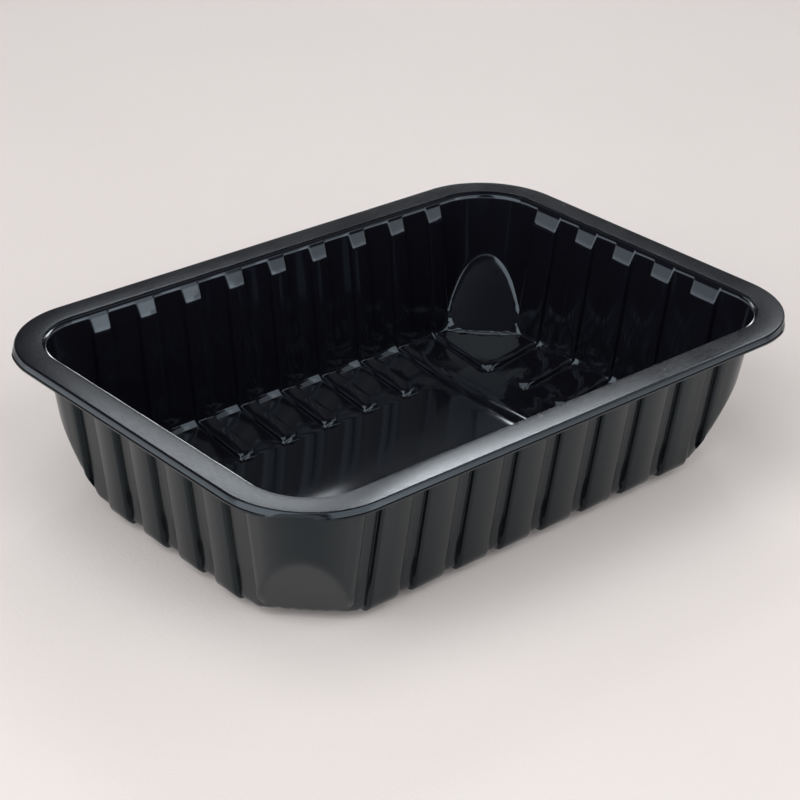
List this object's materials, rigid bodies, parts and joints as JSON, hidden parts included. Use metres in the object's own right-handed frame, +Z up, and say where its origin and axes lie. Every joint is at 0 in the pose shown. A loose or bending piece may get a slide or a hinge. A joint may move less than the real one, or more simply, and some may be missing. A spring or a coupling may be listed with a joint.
{
  "type": "plastic food tray",
  "caption": "Rectangular black plastic food tray with a flat rounded rim, ribbed leaning walls, sliced lower corners and raised bars on its base.",
  "frame": {"origin": "on the table, under the middle of the tray", "axes": "+X along the long sides, +Y along the short sides, +Z up out of the open top"},
  "size_m": [0.2224, 0.1574, 0.053],
  "materials": {
    "black_plastic": "glossy inside, satin outside, with a fine brushed haze on the flange"
  },
  "bodies": {
    "root": {"tray": "black_plastic"}
  },
  "joints": []
}
